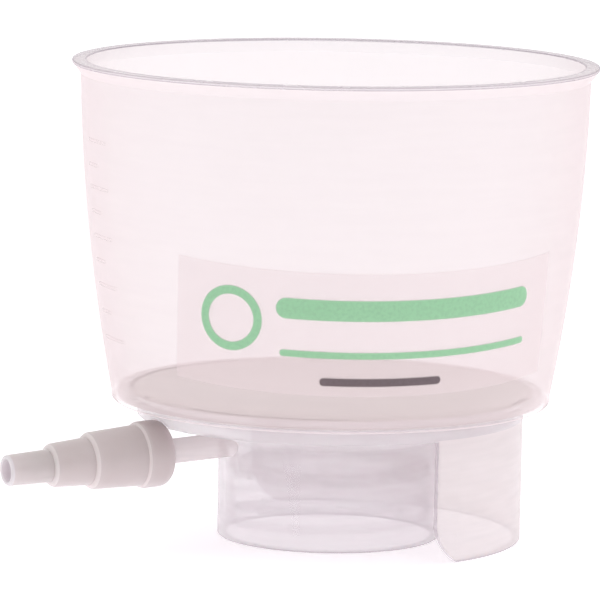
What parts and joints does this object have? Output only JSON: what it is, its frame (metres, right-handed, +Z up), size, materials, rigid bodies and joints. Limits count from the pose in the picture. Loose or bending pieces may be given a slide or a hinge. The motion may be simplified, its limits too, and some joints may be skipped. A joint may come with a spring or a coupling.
{
  "type": "bottle-top vacuum filtration unit",
  "caption": "Translucent funnel over a round filter membrane, with a threaded bottle neck, half-round skirt, and side vacuum port with a stepped hose adapter.",
  "frame": {"origin": "on the bench, below the middle of the whole length and width", "axes": "+Z up along the funnel's axis, which stands at x = 0.01104; the vacuum port and hose adapter point along -X and slope down by 2.4 degrees; the half-round skirt is on the +X side"},
  "size_m": [0.1408, 0.1188, 0.1079],
  "materials": {
    "translucent_plastic": "clear to milky moulded plastic, glossy with a soft haze",
    "membrane": "matt, paper-like, very fine pores",
    "seal": "soft, matt, off-white",
    "label_film": "thin frosted film with plain green and grey bars",
    "white_plastic": "opaque moulded plastic, satin"
  },
  "bodies": {
    "unit": {"funnel": "translucent_plastic", "base": "translucent_plastic", "filter_membrane": "membrane", "bottle_seal_ring": "seal", "front_label": "label_film"},
    "adapter": {"hose_adapter": "white_plastic"}
  },
  "joints": [
    {"name": "hose_adapter_pull", "type": "slide", "parent": "unit", "child": "adapter", "axis": [-0.9991, 0, -0.0419], "range_m": [0, 0.018]}
  ]
}
